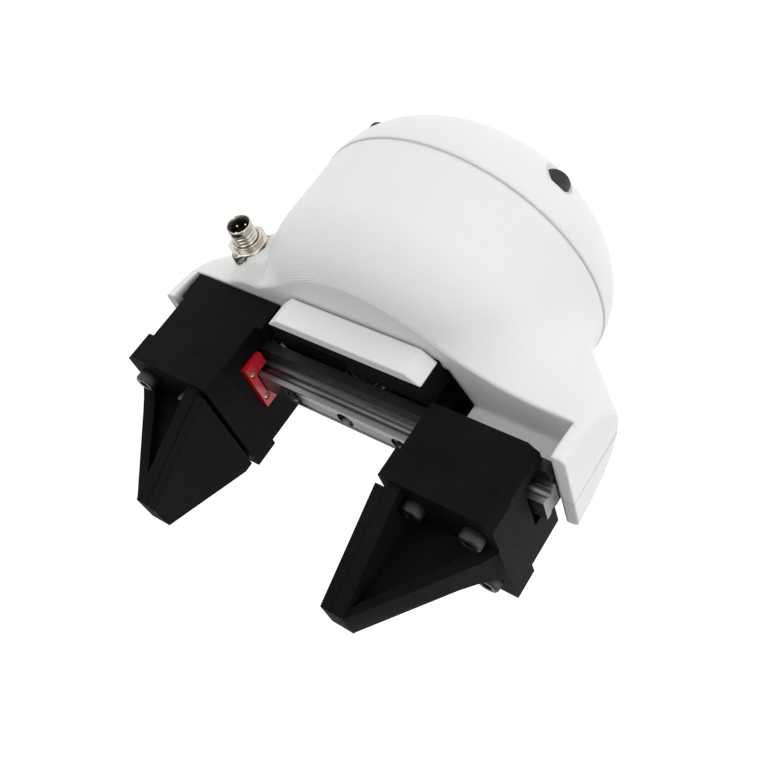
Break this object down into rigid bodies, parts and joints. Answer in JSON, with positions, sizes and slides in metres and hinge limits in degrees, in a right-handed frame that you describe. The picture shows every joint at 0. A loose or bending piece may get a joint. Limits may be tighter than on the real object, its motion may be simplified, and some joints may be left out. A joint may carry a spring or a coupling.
{
  "type": "parallel gripper",
  "caption": "Two-jaw parallel gripper: domed printed housing, jaws with tapered fingers on a miniature rail, rack-and-pinion drive, round connector.",
  "frame": {"origin": "centre of the flange's mounting face, at the middle of the housing", "axes": "+Z from the mounting face to the finger tips, X along the guide rail, +Y to the side with the round connector"},
  "size_m": [0.1432, 0.1024, 0.145],
  "materials": {
    "white_print": "matte, fine layer lines",
    "black_print": "matte, fine layer lines",
    "rail_steel": "ground",
    "dark_steel": "satin dark grey",
    "black_screw": "black oxide",
    "aluminium": "machined",
    "brass": "turned",
    "core_steel": "laminated",
    "copper": "enamelled wire",
    "bearing_steel": "ground",
    "circuit_board": "solder mask",
    "chip_plastic": "moulded",
    "nickel": "nickel plated",
    "gasket_rubber": "moulded",
    "contact_gold": "gold plated",
    "rotor_paint": "satin",
    "magnet": "nickel plated",
    "gear_steel": "machined",
    "carriage_steel": "ground",
    "red_plastic": "moulded",
    "zinc_screw": "zinc plated",
    "pad_elastomer": "soft, ribbed"
  },
  "bodies": {
    "housing": {"dome_housing": "white_print", "left_wing_cover": "white_print", "right_wing_cover": "white_print", "rear_cap": "white_print", "nose_cap": "white_print", "nose_block": "black_print", "drive_frame": "black_print", "guide_rail": "rail_steel", "rail_beam": "dark_steel", "cap_screws": "black_screw", "flange_screws": "black_screw", "rail_screws": "black_screw", "motor_bolts": "black_screw", "board_screws": "black_screw", "mounting_flange": "aluminium", "motor_base": "aluminium", "board_standoffs": "aluminium", "threaded_inserts": "brass", "stator_core": "core_steel", "stator_coils": "copper", "front_bearing": "bearing_steel", "rear_bearing": "bearing_steel", "controller_board": "circuit_board", "board_components": "chip_plastic", "connector_insert": "chip_plastic", "connector_barrel": "nickel", "connector_nut": "nickel", "connector_gasket": "gasket_rubber", "connector_pins": "contact_gold"},
    "rotor": {"rotor_bell": "rotor_paint", "rotor_magnets": "magnet", "encoder_magnet": "magnet", "drive_shaft": "bearing_steel", "drive_pinion": "gear_steel"},
    "left_jaw_carriage": {"left_jaw": "black_print", "left_finger": "black_print", "left_rack": "black_print", "left_carriage": "carriage_steel", "left_end_caps": "red_plastic", "left_cap_screws": "zinc_screw", "left_jaw_screws": "black_screw", "left_finger_screws": "black_screw", "left_pad": "pad_elastomer"},
    "right_jaw_carriage": {"right_jaw": "black_print", "right_finger": "black_print", "right_rack": "black_print", "right_carriage": "carriage_steel", "right_end_caps": "red_plastic", "right_cap_screws": "zinc_screw", "right_jaw_screws": "black_screw", "right_finger_screws": "black_screw", "right_pad": "pad_elastomer"}
  },
  "joints": [
    {"name": "left_jaw_slide", "type": "slide", "parent": "housing", "child": "left_jaw_carriage", "axis": [1, 0, 0], "range_m": [0, 0.0305]},
    {"name": "right_jaw_slide", "type": "slide", "parent": "housing", "child": "right_jaw_carriage", "axis": [-1, 0, 0], "range_m": [0, 0.0305]},
    {"name": "pinion_spin", "type": "hinge", "parent": "housing", "child": "rotor", "pos_m": [0, 0, 0.079], "axis": [0, 0, -1], "range_deg": [0, 218.5]}
  ],
  "couplings": [
    {"joint": "right_jaw_slide", "follows": "left_jaw_slide", "ratio": 1},
    {"joint": "pinion_spin", "follows": "left_jaw_slide", "rad_per_m": 125}
  ]
}
